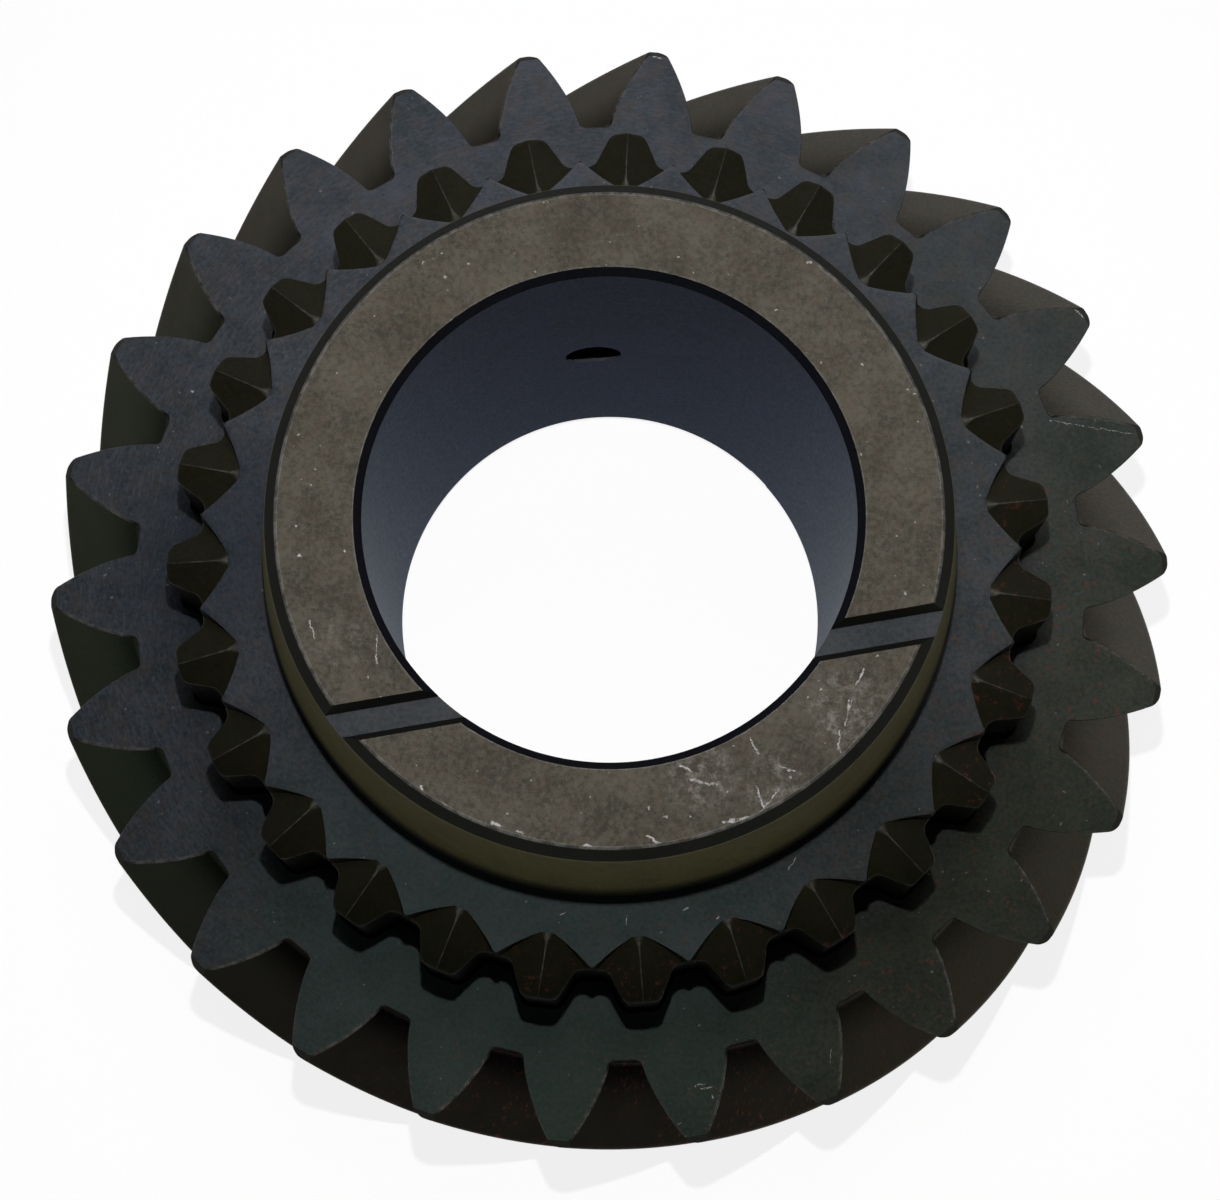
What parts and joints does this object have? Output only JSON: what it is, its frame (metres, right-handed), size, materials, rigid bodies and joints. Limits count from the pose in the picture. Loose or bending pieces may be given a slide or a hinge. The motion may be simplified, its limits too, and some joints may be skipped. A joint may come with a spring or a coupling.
{
  "type": "transmission gear",
  "caption": "Left-hand helical gearbox gear in one piece with a ring of pointed dog teeth, a friction cone and a plain bore.",
  "frame": {"origin": "centre of the bore at the back face the gear rests on", "axes": "+Z along the bore axis towards the cone, +X across the bore"},
  "size_m": [0.1006, 0.1006, 0.0498],
  "materials": {
    "gear_steel": "dark phosphated steel with ground end face, cone and bore"
  },
  "bodies": {
    "root": {"transmission_gear": "gear_steel"}
  },
  "joints": []
}
